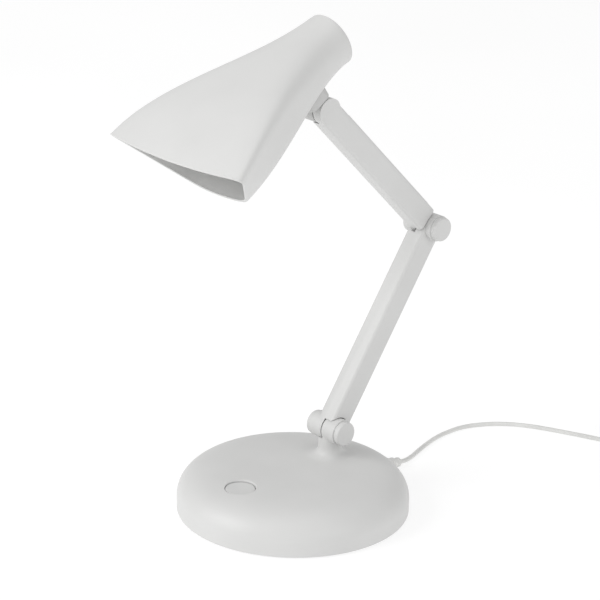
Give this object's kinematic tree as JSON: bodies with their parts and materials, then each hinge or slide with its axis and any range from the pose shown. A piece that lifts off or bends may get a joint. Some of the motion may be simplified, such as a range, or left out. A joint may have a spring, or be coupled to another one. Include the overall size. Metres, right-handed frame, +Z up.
{
  "type": "desk lamp",
  "caption": "Folding LED desk lamp with a weighted round base, push button, two half-lapped swing arms with friction hinges, a flared tilting hood and a coiled USB lead.",
  "frame": {"origin": "centre of the underside of the non-slip pad, where the lamp stands", "axes": "+Z up; -Y towards the front, where the push button is and the hood points; +Y towards the post and the lead's exit; X along every hinge axis"},
  "size_m": [0.1888, 0.3639, 0.3019],
  "materials": {
    "white_shell": "satin moulded ABS",
    "bracket_plastic": "satin moulded nylon",
    "button_plastic": "satin moulded ABS",
    "pad_rubber": "fine matt grain",
    "ballast_steel": "plain rolled plate",
    "screw_steel": "zinc plated",
    "insert_brass": "turned",
    "washer_plastic": "matt fibre",
    "circuit_board": "solder mask",
    "switch_black": "moulded",
    "led_aluminium": "white coated",
    "led_phosphor": "clear resin over yellow phosphor",
    "diffuser_acrylic": "frosted acrylic",
    "lead_pvc": "soft PVC sheath",
    "wire_insulation": "thin PVC",
    "tie_plastic": "moulded",
    "plug_steel": "nickel plated, pressed",
    "contact_black": "moulded"
  },
  "bodies": {
    "base": {"base_shell": "white_shell", "base_post": "white_shell", "base_plate": "bracket_plastic", "non_slip_pad": "pad_rubber", "ballast_weight": "ballast_steel", "ballast_screws": "screw_steel", "base_screws": "screw_steel", "control_board": "circuit_board", "tact_switch": "switch_black", "board_screws": "screw_steel", "cord_clamp": "bracket_plastic", "clamp_screws": "screw_steel", "base_lead": "lead_pvc", "strain_relief": "lead_pvc", "power_cord": "lead_pvc", "power_cord_coil": "lead_pvc", "cord_tie": "tie_plastic", "usb_plug_grip": "lead_pvc", "usb_plug_shell": "plug_steel", "usb_contact_block": "contact_black", "base_bolt": "screw_steel", "base_nut": "screw_steel", "base_washer": "washer_plastic", "base_near_cap": "white_shell"},
    "power_button": {"power_button": "button_plastic"},
    "lower_arm": {"lower_arm_shell": "white_shell", "lower_arm_cover": "white_shell", "lower_arm_screws": "screw_steel", "lower_arm_lead": "wire_insulation", "base_far_cap": "white_shell", "elbow_bolt": "screw_steel", "elbow_nut": "screw_steel", "elbow_washer": "washer_plastic", "elbow_near_cap": "white_shell"},
    "upper_arm": {"upper_arm_shell": "white_shell", "upper_arm_cover": "white_shell", "upper_arm_screws": "screw_steel", "upper_arm_lead": "wire_insulation", "elbow_far_cap": "white_shell", "head_bolt": "screw_steel", "head_insert": "insert_brass", "head_washer": "washer_plastic"},
    "head": {"head_bracket": "bracket_plastic", "head_cap": "white_shell", "bracket_screws": "screw_steel", "hood_shell": "white_shell", "hood_rear_cap": "white_shell", "led_board": "led_aluminium", "led_chips": "led_phosphor", "light_frame": "white_shell", "diffuser": "diffuser_acrylic", "head_lead": "wire_insulation"}
  },
  "joints": [
    {"name": "power_button_press", "type": "slide", "parent": "base", "child": "power_button", "axis": [0, 0, -1], "range_m": [0, 0.0008], "stiffness_N_per_m": 1200, "springref_m": -0.0006},
    {"name": "base_hinge", "type": "hinge", "parent": "base", "child": "lower_arm", "pos_m": [0, 0.03, 0.0437], "axis": [1, 0, 0], "range_deg": [-20, 45]},
    {"name": "elbow_hinge", "type": "hinge", "parent": "lower_arm", "child": "upper_arm", "pos_m": [0, 0.1074, 0.15674], "axis": [1, 0, 0], "range_deg": [-75, 10]},
    {"name": "head_tilt", "type": "hinge", "parent": "upper_arm", "child": "head", "pos_m": [0, 0.01795, 0.24619], "axis": [1, 0, 0], "range_deg": [-50, 60]}
  ]
}
